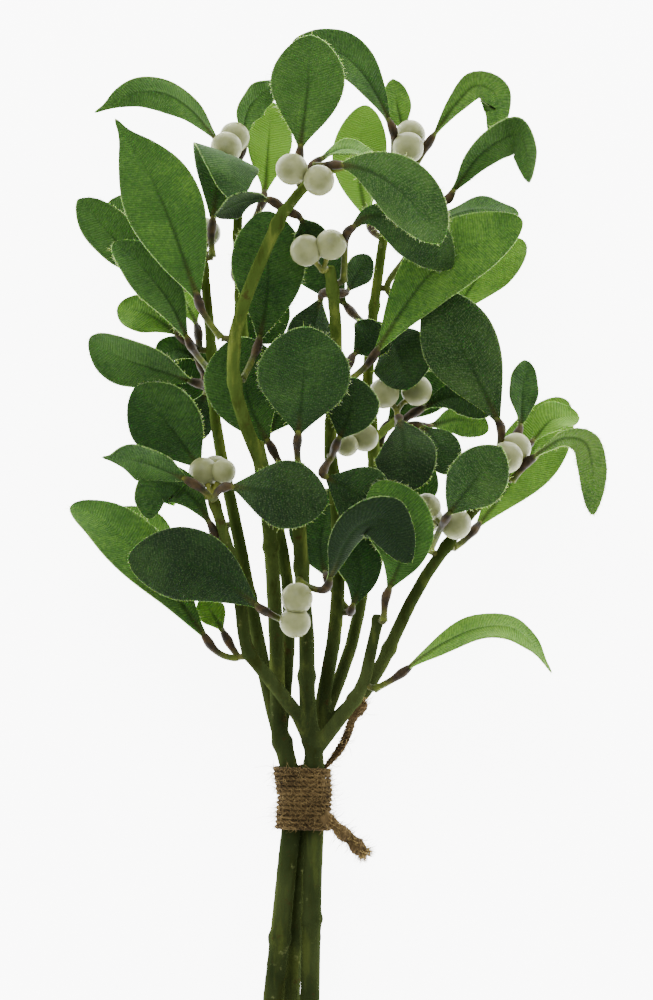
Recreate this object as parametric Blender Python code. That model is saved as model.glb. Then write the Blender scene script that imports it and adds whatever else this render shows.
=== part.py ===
"""A lying bunch of artificial mistletoe: three moulded sprigs, fabric leaves, wax berries and a jute binding.

Everything is first placed in the bunch's own frame, in millimetres: X across, Y up the stems with 0 at the middle
of the binding, Z out of the side that ends uppermost. The empty "bunch" then lays that frame down on the floor.
"""

import collections
import itertools
import math

import bmesh
import bpy
from mathutils import Matrix, Vector
from mathutils.bvhtree import BVHTree

MM = 0.001
GAP = 0.3  # clearance between pieces that touch

# How the bunch lies
TILT = math.radians(6.0)  # the stems rise this much from the cut ends to the foliage

# Sprigs
STEM_SIDES = 8
STEM_STEP = 9.0  # distance between the rings of a stem
TRUNK_R = 2.85
CUT_END_Y = -78.5
COLLAR = 1.24  # how much a joint swells
COLLAR_HALF = 2.2

# Leaves
PETIOLE_R = 0.95
BLADE_HALF_THICKNESS = 0.38
BLADE_STATIONS = (0.05, 0.17, 0.33, 0.5, 0.67, 0.82, 0.94)
PETIOLE_FLARE = 1.15

# Berries
BERRY_R = 4.3
BERRY_SEGMENTS, BERRY_RINGS = 9, 6
PEDICEL_R = 1.0

# Binding
TWINE = 1.5  # thickness of the wound layer
BAND_LOW, BAND_HIGH = -9.4, 9.4
BAND_POINTS = 24
TAIL_R = 0.8
FRAY_R = 1.5

# Each stem: its sprig, the radius at both ends, where joints swell (as a share of its length), and its route.
STEMS = {
    "front_trunk": ("front", TRUNK_R, 2.7, (0.47, 0.97),
                    [(0.8, CUT_END_Y, 1.5), (1.3, -54, 1.8), (1.8, -30, 2.0), (2.3, -13, 2.0), (3.1, 0, 1.6),
                     (2.6, 10, 2.6), (1.5, 19, 4.2)]),
    "front_middle": ("front", 2.5, 1.9, (0.22, 0.62, 0.98),
                     [(1.5, 17, 4), (0.5, 29, 6), (0.5, 42, 9), (-0.5, 56, 11), (-1.5, 72, 13), (-2, 91, 17)]),
    "front_left": ("front", 2.2, 1.6, (0.42, 0.75, 0.97),
                   [(1.7, 15, 4), (-2, 23, 8.5), (-7.5, 30, 12), (-12, 35.5, 14), (-16, 42, 15), (-17.5, 54, 16),
                    (-20.5, 67.5, 17), (-25, 82, 18)]),
    "front_right": ("front", 2.3, 1.6, (0.45, 0.97),
                    [(2.2, 12.5, 3.4), (7.2, 19, 7.5), (12.5, 26, 11), (16, 32, 13), (18, 41, 15), (20, 50, 17)]),
    "left_trunk": ("left", 3.1, 2.6, (0.42, 0.97),
                   [(-11, CUT_END_Y, 1), (-8.6, -54, 1.2), (-6.6, -35, 1.5), (-4.4, -13, 1.8), (-3.1, 0, 1.6),
                    (-4.6, 9.5, 1.0), (-7, 18, 0)]),
    "left_outer": ("left", 2.2, 1.4, (0.3, 0.55, 0.8, 0.97),
                   [(-6.6, 16, 0), (-9.5, 27, -4), (-12, 39, -7), (-15, 54, -9), (-18, 70, -10), (-22, 89, -10),
                    (-24.5, 103, -9), (-25, 115, -9), (-26.5, 133, -12), (-28, 148, -14)]),
    "left_middle": ("left", 2.3, 1.8, (0.35, 0.68, 0.97),
                    [(-6.8, 16, 0.5), (-7.5, 28, 1), (-7.8, 43, 3), (-9, 65, 9), (-10.5, 81, 17), (-12, 91, 24),
                     (-16.5, 102.5, 29), (-19, 113.5, 31), (-19, 124, 32), (-16, 135, 33), (-11.5, 146, 34),
                     (-5.5, 159, 35.5)]),
    "left_arm": ("left", 1.7, 1.3, (0.55, 0.95), [(-6.5, 157, 35), (-1, 164, 36.5), (4, 168, 38), (11, 171, 39.5)]),
    "left_back": ("left", 2.0, 1.4, (0.45, 0.78, 0.97),
                  [(-6.6, 17, -0.5), (-5.5, 28, -6), (-4.5, 43, -11), (-5, 60, -14), (-9, 81, -17), (-14, 102, -18),
                   (-17, 127, -18), (-18.5, 150, -18.5), (-18, 171, -19)]),
    "back_trunk": ("back", 2.75, 2.5, (0.4, 0.97),
                   [(-5.2, CUT_END_Y, -4.6), (-3.9, -54, -4.7), (-3, -35, -4.7), (-1.6, -13, -4.5), (0, 0, -4.0),
                    (1.8, 9.5, -4.8), (3.4, 18, -6.5)]),
    "back_middle": ("back", 2.2, 1.7, (0.4, 0.7, 0.95),
                    [(3.2, 16, -6), (5, 28, -7), (7.5, 41, -5.5), (8.8, 54, -2.5), (9, 70, 3), (8, 86.5, 8),
                     (6.5, 97, 12), (8, 109.5, 17), (8.5, 124, 22), (7.5, 137, 26), (6.5, 144, 27.5)]),
    "back_right": ("back", 2.2, 1.5, (0.35, 0.7, 0.97),
                   [(3.4, 16, -6.5), (11, 24, -7), (17.5, 30.5, -5), (22, 39, -1), (27.5, 51, 2), (33, 61, 4),
                    (38, 68, 5.5), (44.5, 77, 7), (50, 83.5, 9), (55.5, 90, 11)]),
    "back_back": ("back", 2.0, 1.4, (0.5, 0.75, 0.97),
                  [(3.3, 17, -7), (8.5, 30, -11.5), (13, 43, -14), (17, 65, -15.5), (18.5, 86, -15.5),
                   (18.5, 100, -14.5), (17, 112, -13.5), (18, 127, -13), (20, 143, -13), (22.5, 159, -13.5),
                   (26.5, 173, -14)]),
    "back_twig": ("back", 1.4, 1.2, (0.9,), [(18, 97, -14), (21.5, 100, -7), (25.5, 103, 0)]),
}

# Leaf nodes: the stem they plug on, then each blade's midrib from base to tip, width, roll about the midrib,
# cup (how far the edges rise, as a share of the half width) and style, if it isn't a plain round-tipped one.
# Two blades in one node share a joint. The bunch lies on the blades that rest.
LEAVES = [
    ("leaf_middle_front", "front_middle", [([(-2, 97, 24), (-0.5, 112, 33), (0.5, 127.5, 35)], 25, 0, 0.10)]),
    ("leaf_upper_left_big", "left_middle",
     [([(-27.5, 132, 32), (-34, 150, 32), (-41, 167, 30), (-51, 183.5, 25)], 21, 6, 0.12, "pointed")]),
    ("leaf_pair_top", "left_arm", [([(-1.5, 173.5, 34), (0.5, 189, 37), (1.5, 205.5, 36)], 20, -8, 0.10),
                                   ([(3.5, 172, 32), (11, 175.5, 31), (19, 173, 30)], 10, -62, 0.10)]),
    ("leaf_top_velvet", "left_arm",
     [([(8, 170.5, 40.5), (18, 168.5, 46), (29, 161, 48), (37.5, 149, 45)], 18.5, 10, -0.12)]),
    ("leaf_right_velvet", "back_right", [([(53, 99, 16), (45.5, 115, 25), (35.5, 135, 28)], 21, 0, 0.08)]),
    ("leaf_pair_diagonal", "back_middle", [([(17, 118, 12), (35, 143, 20), (58.5, 156.5, 22)], 19, -22, 0.10),
                                           ([(13, 120, 9), (17, 124, 7), (20, 129, 5)], 12, 20, 0.10)]),
    ("leaf_low_left_dark", "front_middle", [([(-8, 50, 24), (-24, 61, 33), (-44, 64, 32)], 20, 8, -0.10)]),
    ("leaf_pair_middle_left", "front_left", [([(-21, 84.5, 26), (-8, 83, 32), (6, 80.5, 31)], 18.5, -8, -0.10),
                                             ([(-31, 86, 22), (-44, 91.5, 24), (-54.5, 92.5, 22)], 14, -48, 0.10, "pointed")]),
    ("leaf_low_right", "front_right", [([(22, 55, 20), (26.5, 70, 25), (19.5, 86, 24)], 18, 18, 0.10)]),
    ("leaf_claw", "front_middle", [([(3, 57, 24), (7, 70.5, 35), (15, 75.5, 38), (24, 63.5, 35)], 13.5, 42, -0.2)]),
    ("leaf_lowest_right", "front_right",
     [([(25, 33.5, 16), (37, 42, 19), (51, 47, 19), (60, 43.5, 18), (66.5, 34.5, 15)], 12, -58, 0.10, "pointed")]),
    ("leaf_pair_low_left", "front_left", [([(-24.5, 41, 14), (-39, 60, 12), (-53, 74, 8), (-63.5, 79.5, 4)], 18, 34, 0.12),
                                          ([(-22, 45, 11), (-25, 50, 9), (-28, 54.5, 8)], 8, 20, 0.10)]),
    ("leaf_left_middle", "left_outer", [([(-27.5, 88.5, 0), (-36, 100, 6), (-46, 111.5, 6)], 20, -14, 0.10)]),
    ("leaf_spoon", "left_outer", [([(-29, 112.5, 2), (-40, 116, 9), (-50, 119.5, 12), (-57.5, 124.5, 12)], 16, -36, 0.14)]),
    ("leaf_left_oblique", "left_outer", [([(-31, 123, 2), (-37, 135, 7), (-45, 145, 9), (-52, 150.5, 8)], 15, 38, 0.12)]),
    ("leaf_pair_left_light", "left_outer", [([(-34, 125.5, -8), (-42, 131, -10), (-51, 134, -14)], 13, 25, 0.10),
                                            ([(-29.5, 128, -14), (-33, 135, -17), (-37.5, 142, -19)], 12, 40, 0.10)]),
    ("leaf_pair_left_outer", "left_outer", [([(-40, 139, -3), (-51, 151, 0), (-61.5, 162.5, 0)], 14, 24, 0.12),
                                            ([(-32, 149, -18), (-44, 158, -23), (-56, 164, -28)], 13, 0, 0.10, "rests")]),
    ("leaf_pair_top_left", "left_back", [([(-22, 177, -18), (-33, 189.5, -14), (-45, 192, -13), (-56.5, 186.5, -12)],
                                          12, -62, 0.12, "pointed"),
                                         ([(-17, 178, -22), (-15.5, 188, -22), (-8, 195.5, -22)], 11, 52, 0.10)]),
    ("leaf_pair_top_back", "left_back", [([(-11.5, 164, -24), (-10, 178, -26), (-9, 192, -29)], 13, 12, 0.10, "rests"),
                                         ([(-19, 142, -24), (-13, 133, -26), (-8, 124, -27)], 16, 0, 0.05, "rests")]),
    ("leaf_folded", "left_outer", [([(-25.5, 154, -13), (-24, 166, -11), (-22, 174.5, -4), (-20.3, 172.5, 7), (-19.5, 162, 13)],
                                    19, 0, 0.06)]),
    ("leaf_pair_fork", "left_middle", [([(-9.5, 161.5, 33), (-16, 161.5, 36), (-24, 157.5, 38)], 15, -58, 0.12),
                                       ([(-1.5, 157, 31), (1.5, 152, 28), (3, 147, 26)], 9, 10, 0.10)]),
    ("leaf_behind_stem", "left_middle", [([(-13, 122, 20), (-10, 138, 21), (-10.5, 159, 18)], 20, 0, 0.08)]),
    ("leaf_pair_inner", "back_middle", [([(4.5, 136, 19), (2.5, 128, 16), (0, 117, 13)], 16, 30, 0.10),
                                        ([(11, 137, 19), (14, 142, 15), (17.5, 147, 12)], 8, 10, 0.10)]),
    ("leaf_pair_arch", "back_back", [([(25, 180, -6), (19.5, 192, 0), (11.5, 200, 4), (-1, 202, 7)], 13.5, 40, 0.12),
                                     ([(27, 180, -19), (25.5, 187, -21), (24, 196, -23)], 8, 20, 0.10)]),
    ("leaf_pair_back_right", "back_back", [([(18, 156, -19), (14.5, 172, -24), (16, 192, -29)], 15, 0, 0.08, "rests"),
                                           ([(27, 150, -19), (32, 141, -24), (37, 131, -27)], 16, 0, 0.05, "rests")]),
    ("leaf_pair_top_right", "back_back", [([(33, 177.5, -9), (41, 189, -6), (47.5, 194, -4), (51.5, 189, -1),
                                            (50, 178, 2)], 8.5, -20, 0.12),
                                          ([(38, 163, -3), (47, 174, 3), (56.5, 180, 6), (60, 175, 9),
                                            (60.5, 167, 9)], 12, 40, 0.12)]),
    ("leaf_curled", "back_middle", [([(9, 152, 33), (15, 157, 38), (27, 152, 38), (38.5, 143.5, 33)], 14.5, -12, -0.2)]),
    ("leaf_pair_right_back", "back_back", [([(32, 153, -5), (45, 159.5, -1), (58, 158.5, 0)], 12, -68, 0.10),
                                           ([(37, 130, -14), (49, 143, -22), (61.5, 152.5, -28)], 14, -20, 0.10, "rests")]),
    ("leaf_pair_right_tip", "back_right", [([(58, 100, 1), (59, 110, -3), (60, 119, -4)], 10, 30, 0.10),
                                           ([(62, 97, 7), (68, 103.5, 7), (76, 105, 6)], 11, -40, 0.20)]),
    ("leaf_right_bright", "back_right", [([(45, 72, 0), (58.5, 89, -9), (73, 111.5, -20)], 18, -16, 0.10, "rests")]),
    ("leaf_right_hanging", "back_right", [([(60, 91, 14), (67, 96, 18), (74, 98, 20), (77.3, 91, 21), (77.5, 77, 19)],
                                           8.0, -50, 0.10)]),
    ("leaf_right_inner", "back_right", [([(40, 79, 17), (47, 88.5, 22), (55.5, 99.5, 22)], 16, -6, 0.20)]),
    ("leaf_pair_twig", "back_twig", [([(25.5, 103, 7), (27, 94, 16), (25.5, 83, 17)], 17.5, 6, -0.15),
                                     ([(31, 101, 5), (36, 96, 11), (38.5, 88, 14)], 11, -35, 0.10)]),
    ("leaf_pair_inner_right", "back_back", [([(20.5, 128, -2), (25.5, 121, 5), (27.5, 111, 8)], 18, 5, -0.10),
                                            ([(14, 130, -19), (7, 140, -24), (2, 151, -28)], 16, 0, 0.05, "rests")]),
    ("leaf_pair_left_inner", "left_outer", [([(-27, 111, -13), (-29, 105, -15), (-29.5, 97, -16)], 9, 10, 0.10),
                                            ([(-29, 119, -9), (-35, 122, -10), (-41, 119, -11)], 9, 25, 0.10)]),
    ("leaf_left_hook", "front_left", [([(-25, 73, 16), (-31, 82, 15), (-37, 85.5, 16), (-41.5, 83, 17), (-42, 76, 16)],
                                       11, 45, 0.10)]),
    ("leaf_left_low_back", "left_outer", [([(-32, 60, -8), (-43, 70, -15), (-54, 78, -21)], 15, 10, 0.10, "rests")]),
    ("leaf_pair_centre", "back_middle", [([(5, 88, 18), (12.5, 83.5, 21), (22.5, 78, 20)], 17, 10, -0.10),
                                         ([(9, 97.5, 17), (12, 104.5, 18), (14, 115, 17)], 16, -10, 0.10)]),
    ("leaf_pair_centre_back", "back_middle", [([(12.5, 52, 2), (15, 61, 3), (13, 74, 2)], 13, 20, 0.10),
                                              ([(6, 60, -9), (4, 71, -15), (7, 86, -20)], 19, 0, 0.05)]),
    ("leaf_left_broad", "front_middle", [([(-9, 95, 15), (-15, 107, 17), (-18, 125, 14)], 22, 0, 0.08)]),
    ("leaf_pair_right_inner", "back_twig", [([(31, 105.5, -3), (41, 109, -3), (50, 104, -1)], 10, -30, 0.10),
                                            ([(33, 101, -9), (42, 103, -15), (50, 100, -19)], 9, 10, 0.10)]),
    ("leaf_pair_floor_left", "left_back", [([(-18, 104, -22), (-27, 112, -24), (-36, 119, -26)], 16, 0, 0.05, "rests"),
                                           ([(-11, 98, -21), (-5, 109, -24), (0, 119, -26)], 16, 0, 0.05, "rests")]),
    ("leaf_pair_floor_right", "back_back", [([(22, 101, -19), (31, 111, -22), (39, 120, -25)], 16, 0, 0.05, "rests"),
                                            ([(22, 90, -20), (29, 86, -21), (36, 83, -22)], 14, 0, 0.05)]),
    ("leaf_floor_low_left", "left_outer", [([(-23, 71, -13), (-31, 66, -17), (-39, 59, -19)], 14, 0, 0.05, "rests")]),
]

# Berry clusters: the stem, then the berries' centres and radii.
BERRIES = [
    ("berries_top", "left_arm", [((-3.5, 169.5, 42), 1.0), ((3.8, 166.5, 44), 0.97)]),
    ("berries_upper", "back_middle", [((0.3, 148, 31), 1.0), ((7, 149.6, 32), 0.97)]),
    ("berries_top_left", "left_back", [((-21.5, 177, -12), 1.0), ((-19.3, 180, -17.5), 0.97)]),
    ("berries_top_right", "back_back", [((28, 176.8, -7), 1.0), ((28.6, 180.4, -12.5), 0.97)]),
    ("berries_inner_right", "back_twig", [((21.4, 110, 0), 0.97), ((30.2, 110.7, -1), 0.97)]),
    ("berries_right", "back_right", [((54.5, 92.5, 16), 1.0), ((57, 95, 11), 0.97)]),
    ("berry_right_low", "back_right", [((40.8, 74.5, 12), 0.97)]),
    ("berries_centre_right", "back_right", [((33, 79, 9), 0.9), ((33.4, 76, 3.5), 0.9)]),
    ("berries_low", "front_middle", [((-2.2, 54.5, 21), 1.0), ((-2.7, 48, 20), 0.97)]),
    ("berries_left", "front_left", [((-27.5, 88.5, 12), 0.95), ((-24.3, 89, 7), 0.95), ((-30.5, 82.6, 11), 0.95)]),
    ("berry_upper_left", "left_outer", [((-27.2, 154, -20), 0.95)]),
    ("berry_inner", "back_middle", [((16, 98, 3), 0.9)]),
]

COLOURS = {  # colour, roughness
    "stem": ((0.16, 0.22, 0.055), 0.5),
    "leaf": ((0.03, 0.12, 0.035), 0.85),
    "leaf_light": ((0.09, 0.27, 0.045), 0.8),
    "berry": ((0.86, 0.88, 0.80), 0.3),
    "twine": ((0.34, 0.22, 0.12), 0.95),
}
LIGHT_LEAVES = ("leaf_pair_low_left", "leaf_right_bright", "leaf_pair_left_light", "leaf_pair_right_back",
                "leaf_left_low_back", "leaf_lowest_right", "leaf_low_right")

for old in list(bpy.data.objects):
    bpy.data.objects.remove(old)

bunch = bpy.data.objects.new("bunch", None)
bpy.context.scene.collection.objects.link(bunch)
bunch.rotation_euler = (TILT, 0, 0)
UP = Vector((0, math.sin(TILT), math.cos(TILT)))  # the floor's normal, in the bunch's frame


def material(name):
    made = bpy.data.materials.get(name)
    if made is None:
        made = bpy.data.materials.new(name)
        made.use_nodes = True
        shader = made.node_tree.nodes["Principled BSDF"]
        colour, roughness = COLOURS[name]
        shader.inputs["Base Color"].default_value = (*colour, 1)
        shader.inputs["Roughness"].default_value = roughness
        made.diffuse_color = (*colour, 1)
    return made


def add(name, mesh, at, look, smooth=True, cutter=False):
    """Puts a mesh, whose points are relative to the point at, on the bunch."""
    obj = bpy.data.objects.new(name, mesh)
    bpy.context.scene.collection.objects.link(obj)
    obj.parent = bunch
    obj.location = Vector(at) * MM
    mesh.materials.append(material(look))
    if smooth:
        mesh.shade_smooth()
    if cutter:
        obj.hide_render = True
        obj.display_type = "WIRE"
    return obj


def solid(name, rings, first, last, at):
    """One closed mesh from rings of points in order, a point that closes the start and one that closes the end."""
    bm = bmesh.new()
    at = Vector(at)

    def place(p):
        return bm.verts.new((Vector(p) - at) * MM)

    start, end = place(first), place(last)
    loops = [[place(p) for p in ring] for ring in rings]
    count = len(loops[0])
    for k in range(count):
        n = (k + 1) % count
        bm.faces.new((start, loops[0][n], loops[0][k]))
        for low, high in zip(loops, loops[1:]):
            bm.faces.new((low[k], low[n], high[n], high[k]))
        bm.faces.new((end, loops[-1][k], loops[-1][n]))
    bmesh.ops.recalc_face_normals(bm, faces=bm.faces)
    mesh = bpy.data.meshes.new(name)
    bm.to_mesh(mesh)
    bm.free()
    return mesh


def smooth_route(points, per=12):
    """A smooth curve through the points, as (place, length so far) pairs."""
    p = [Vector(q) for q in points]
    p = [2 * p[0] - p[1]] + p + [2 * p[-1] - p[-2]]
    out = []
    for a, b, c, d in zip(p, p[1:], p[2:], p[3:]):
        for k in range(per):
            t = k / per
            out.append(0.5 * (2 * b + (c - a) * t + (2 * a - 5 * b + 4 * c - d) * t * t
                              + (3 * b - a - 3 * c + d) * t ** 3))
    out.append(p[-2])
    total, run = 0.0, [(out[0], 0.0)]
    for q, r in zip(out, out[1:]):
        total += (r - q).length
        run.append((r, total))
    return run


def along(run, s):
    """The place and direction at length s of a smooth route."""
    for (p, a), (q, b) in zip(run, run[1:]):
        if s <= b + 1e-9:
            return p.lerp(q, (s - a) / max(b - a, 1e-9)), (q - p).normalized()
    return run[-1][0], (run[-1][0] - run[-2][0]).normalized()


def tube_rings(run, stations, radius, sides):
    """Round rings across a route at each station, carried along it without twisting."""
    rings, side = [], None
    for s in stations:
        place, ahead = along(run, s)
        side = ahead.orthogonal() if side is None else side - ahead * side.dot(ahead)
        side.normalize()
        other = ahead.cross(side)
        r = radius(s)
        rings.append([place + r * (math.cos(a) * side + math.sin(a) * other)
                      for a in (2 * math.pi * k / sides for k in range(sides))])
    return rings


def tree_of(mesh, at):
    """A search tree of a mesh in the bunch's frame, in millimetres."""
    at = Vector(at)
    points = [v.co / MM + at for v in mesh.vertices]
    return BVHTree.FromPolygons(points, [tuple(f.vertices) for f in mesh.polygons])


placed = []  # search trees of everything that already has its place


def join(name, meshes, at, look):
    """One object from meshes that overlap: the first one, with the others joined to it."""
    whole = add(name, meshes[0], at, look)
    for k, mesh in enumerate(meshes[1:]):
        piece = add(f"{name}_with_{k + 1}", mesh, at, look, cutter=True)
        cut = whole.modifiers.new(f"join_{k + 1}", "BOOLEAN")
        cut.operation, cut.solver, cut.object = "UNION", "EXACT", piece
    for mesh in meshes:
        placed.append(tree_of(mesh, at))
    return whole


# Sprigs: round stems with swollen joints, joined into one moulded piece each
routes = {name: smooth_route(row[4]) for name, row in STEMS.items()}


def stem_radius(name, s):
    _, low, high, joints, _ = STEMS[name]
    length = routes[name][-1][1]
    r = low + (high - low) * s / length
    near = min(abs(s - share * length) for share in joints)
    return r * (1 + (COLLAR - 1) * max(0.0, 1 - near / COLLAR_HALF) ** 0.5)


def stem_mesh(name):
    run = routes[name]
    length = run[-1][1]
    stations = {k * length / max(2, round(length / STEM_STEP)) for k in range(1 + max(2, round(length / STEM_STEP)))}
    for share in STEMS[name][3]:
        centre = share * length
        stations = {s for s in stations if abs(s - centre) > 1.4 * COLLAR_HALF or s in (0.0, length)}
        stations |= {s for s in (centre - COLLAR_HALF, centre, centre + COLLAR_HALF) if 0.6 < s < length - 0.6}
    stations = sorted(stations)
    rings = tube_rings(run, stations, lambda s: stem_radius(name, s), STEM_SIDES)
    return solid(name, rings, run[0][0], run[-1][0], (0, 0, 0))


for sprig in ("front", "left", "back"):
    join(f"sprig_{sprig}", [stem_mesh(name) for name, row in STEMS.items() if row[0] == sprig], (0, 0, 0), "stem")


# Binding: a band whose inside follows the three trunks, with its tail and its frayed end
def trunk_outline(y, grow):
    """The tight loop round the three trunks at height y, grown outward."""
    centres = []
    for name in ("front_trunk", "left_trunk", "back_trunk"):
        place = min((p for p, _ in routes[name]), key=lambda p: abs(p.y - y))
        centres.append((place.x, place.z, stem_radius(name, 0)))
    loop = []
    for k in range(BAND_POINTS):
        a = 2 * math.pi * k / BAND_POINTS
        u = (math.cos(a), math.sin(a))
        x, z, r = max(centres, key=lambda c: c[0] * u[0] + c[1] * u[1] + c[2])
        loop.append((x + (r + grow) * u[0], y, z + (r + grow) * u[1]))
    return loop


def band_mesh():
    inner, outer = 2 * GAP, 2 * GAP + TWINE
    loops = []
    for y, grow in ((BAND_LOW, inner), (BAND_LOW, outer - 0.5), (BAND_LOW + 0.7, outer), (0, outer),
                    (BAND_HIGH - 0.7, outer), (BAND_HIGH, outer - 0.5), (BAND_HIGH, inner), (0, inner)):
        loops.append(trunk_outline(y, grow))
    bm = bmesh.new()
    rings = [[bm.verts.new(Vector(p) * MM) for p in loop] for loop in loops]
    for low, high in zip(rings, rings[1:] + rings[:1]):
        for k in range(BAND_POINTS):
            n = (k + 1) % BAND_POINTS
            bm.faces.new((low[k], low[n], high[n], high[k]))
    bmesh.ops.recalc_face_normals(bm, faces=bm.faces)
    mesh = bpy.data.meshes.new("band")
    bm.to_mesh(mesh)
    bm.free()
    return mesh


def strand(name, points, low, high, step=2.5):
    run = smooth_route(points)
    length = run[-1][1]
    count = max(3, round(length / step))
    stations = [k * length / count for k in range(count + 1)]
    rings = tube_rings(run, stations, lambda s: low + (high - low) * s / length, 7)
    return solid(name, rings, run[0][0], run[-1][0], (0, 0, 0))


tail = strand("tail", [(6.6, 7.5, -3.4), (9.2, 12, -5.4), (11.5, 17.5, -1), (13, 22, 0.6), (16, 26, 2)], TAIL_R, TAIL_R)
fray = strand("fray", [(6.3, -4.5, 3.4), (9.6, -8.5, 4), (12.5, -11, 3.4), (16, -15, 2)], 1.2, FRAY_R)
join("twine", [band_mesh(), tail, fray], (0, 0, 0), "twine")


# Berries: spheres on short pedicels that leave the stem at one point
def sphere(name, centre, radius):
    bm = bmesh.new()
    bmesh.ops.create_uvsphere(bm, u_segments=BERRY_SEGMENTS, v_segments=BERRY_RINGS, radius=radius * MM,
                              matrix=Matrix.Translation(Vector(centre) * MM))
    mesh = bpy.data.meshes.new(name)
    bm.to_mesh(mesh)
    bm.free()
    return mesh


def touches(mesh, at=(0, 0, 0)):
    """True if a trial mesh meets anything that already has its place. The mesh is used up."""
    tree = tree_of(mesh, at)
    bpy.data.meshes.remove(mesh)
    return any(tree.overlap(other) for other in placed)


def beside_stem(stem, level, toward, slide, around, clear):
    """A point beside a stem, level with one point and on the side that faces another, moved along and around it."""
    near = min(routes[stem], key=lambda item: (item[0] - level).length)[1]
    s = min(max(near + slide, 0.5), routes[stem][-1][1] - 0.5)
    place, ahead = along(routes[stem], s)
    out = toward - place
    out -= ahead * out.dot(ahead)
    if out.length < 1.0:
        out = ahead.cross(Vector((1, 0, 0)))
    out = Matrix.Rotation(math.radians(around), 3, ahead) @ out.normalized()
    return place + out * (stem_radius(stem, s) * 1.04 + GAP + clear)


def pedicel(foot, centre):
    run = smooth_route([foot, foot.lerp(centre, 0.5), centre])
    length = run[-1][1]
    rings = tube_rings(run, [0.0, length * 0.5, length - 1.0], lambda s: PEDICEL_R, 6)
    return solid("pedicel", rings, run[0][0], run[-1][0], (0, 0, 0))


SHIFTS = (0, 1, -1, 2, -2, 3, -3, 4, -4, 5, -5, 6, -6, 8, -8)
SLIDES = (0, 2.5, -2.5, 5, -5, 7.5, -7.5)
AROUND = (0, 35, -35, 70, -70)


def settle_cluster(name, stem, berries):
    """The cluster's berry centres and foot, the berries moved up or down until nothing is in their way."""
    for shift in SHIFTS:
        centres = [Vector(c) + Vector((0, 0, shift)) for c, _ in berries]
        if any(touches(sphere("trial", c, BERRY_R * share + GAP)) for c, (_, share) in zip(centres, berries)):
            continue
        middle = sum(centres, Vector()) / len(centres)
        for slide in SLIDES:
            for around in AROUND:
                foot = beside_stem(stem, middle, middle, slide, around, PEDICEL_R * 1.1)
                if not any(touches(pedicel(foot, c)) for c in centres):
                    return centres, foot
    raise ValueError(f"no clear place for {name}")


for name, stem, berries in BERRIES:
    centres, foot = settle_cluster(name, stem, berries)
    meshes = [sphere(name, c, BERRY_R * share) for c, (_, share) in zip(centres, berries)]
    meshes += [pedicel(foot, c) for c in centres if (c - foot).length > BERRY_R]
    join(name, meshes, (0, 0, 0), "berry")


# Leaves: a blade with a lens-shaped section that runs down into a round petiole
Blade = collections.namedtuple("Blade", "midrib width roll cup style", defaults=("round",))


def width_share(t, style):
    """The blade's width along its length: a narrow base, widest past the middle, and a round or a pointed tip."""
    if style == "pointed":
        return math.sin(math.pi * t ** 1.1) ** (1.1 + 0.25 * t)
    return math.sin(math.pi * t ** 1.45) ** (1.0 - 0.42 * t)


def leaf_rings(joint, blade, grow=0.0):
    """Rings of six points from the joint to the tip, then where the row starts and ends."""
    run = smooth_route([joint] + [Vector(p) for p in blade.midrib])
    total = run[-1][1]
    base = max(2.0, min(run, key=lambda item: (item[0] - Vector(blade.midrib[0])).length)[1])
    stations = [0.0, 0.5 * base] if base > 4 else [0.0]
    stations += [base + t * (total - base) for t in BLADE_STATIONS]
    _, ahead = along(run, stations[-len(BLADE_STATIONS)])
    face = Vector((0, 0, 1)) - ahead * ahead.z
    if face.length < 0.25:
        face = Vector((0, -1, 0)) + ahead * ahead.y
    face = Matrix.Rotation(math.radians(blade.roll), 3, ahead) @ face.normalized()
    # The face's direction is carried out along the blade, and back down the petiole, without twisting.
    faces = {}
    for stretch in ([s for s in stations if s >= base], [s for s in reversed(stations) if s < base]):
        carried = face.copy()
        for s in stretch:
            _, ahead = along(run, s)
            carried = (carried - ahead * carried.dot(ahead)).normalized()
            faces[s] = carried
    rings = []
    for s in stations:
        place, ahead = along(run, s)
        side = ahead.cross(faces[s])
        t = (s - base) / (total - base)
        half, deep, rise = PETIOLE_R * (PETIOLE_FLARE if s == 0 else 0.9), PETIOLE_R * 0.87, 0.0
        if t > 0:
            blend = min(1.0, t / 0.2)
            half = max(PETIOLE_R * 0.8, 0.5 * blade.width * width_share(t, blade.style))
            deep = PETIOLE_R * 0.7 * (1 - blend) + BLADE_HALF_THICKNESS * blend * (1.0 if t < 0.9 else 0.75)
            rise = blade.cup * half
        rings.append([place + side * (half + grow) * across
                      + faces[s] * ((deep + grow) * level + rise * (across * across - 0.3))
                      for across, level in SECTION])
    return rings, run[0][0], run[-1][0]


SECTION = ((-1, 0), (-0.42, 1), (0.42, 1), (1, 0), (0.42, -1), (-0.42, -1))
TIPPED = [0] + [sign * 3 * step for step in range(1, 16) for sign in (1, -1)]
A_LITTLE = 11  # how many of the tips in TIPPED are tried at every joint before the larger ones
LAID = [0.5 * step for step in range(-70, 71)]
ROLLED = (0, 12, -12, 25, -25)
LEAD = 7.0  # how far back along the stem a petiole starts from where its blade does
REACH = 12.0  # a blade that can't come this near the floor doesn't rest on it
FLOOR = min(UP.dot(routes[name][0][0]) - stem_radius(name, 0) for name in ("front_trunk", "left_trunk", "back_trunk"))


def height(points):
    return min(UP.dot(p) for p in points) - FLOOR


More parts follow.
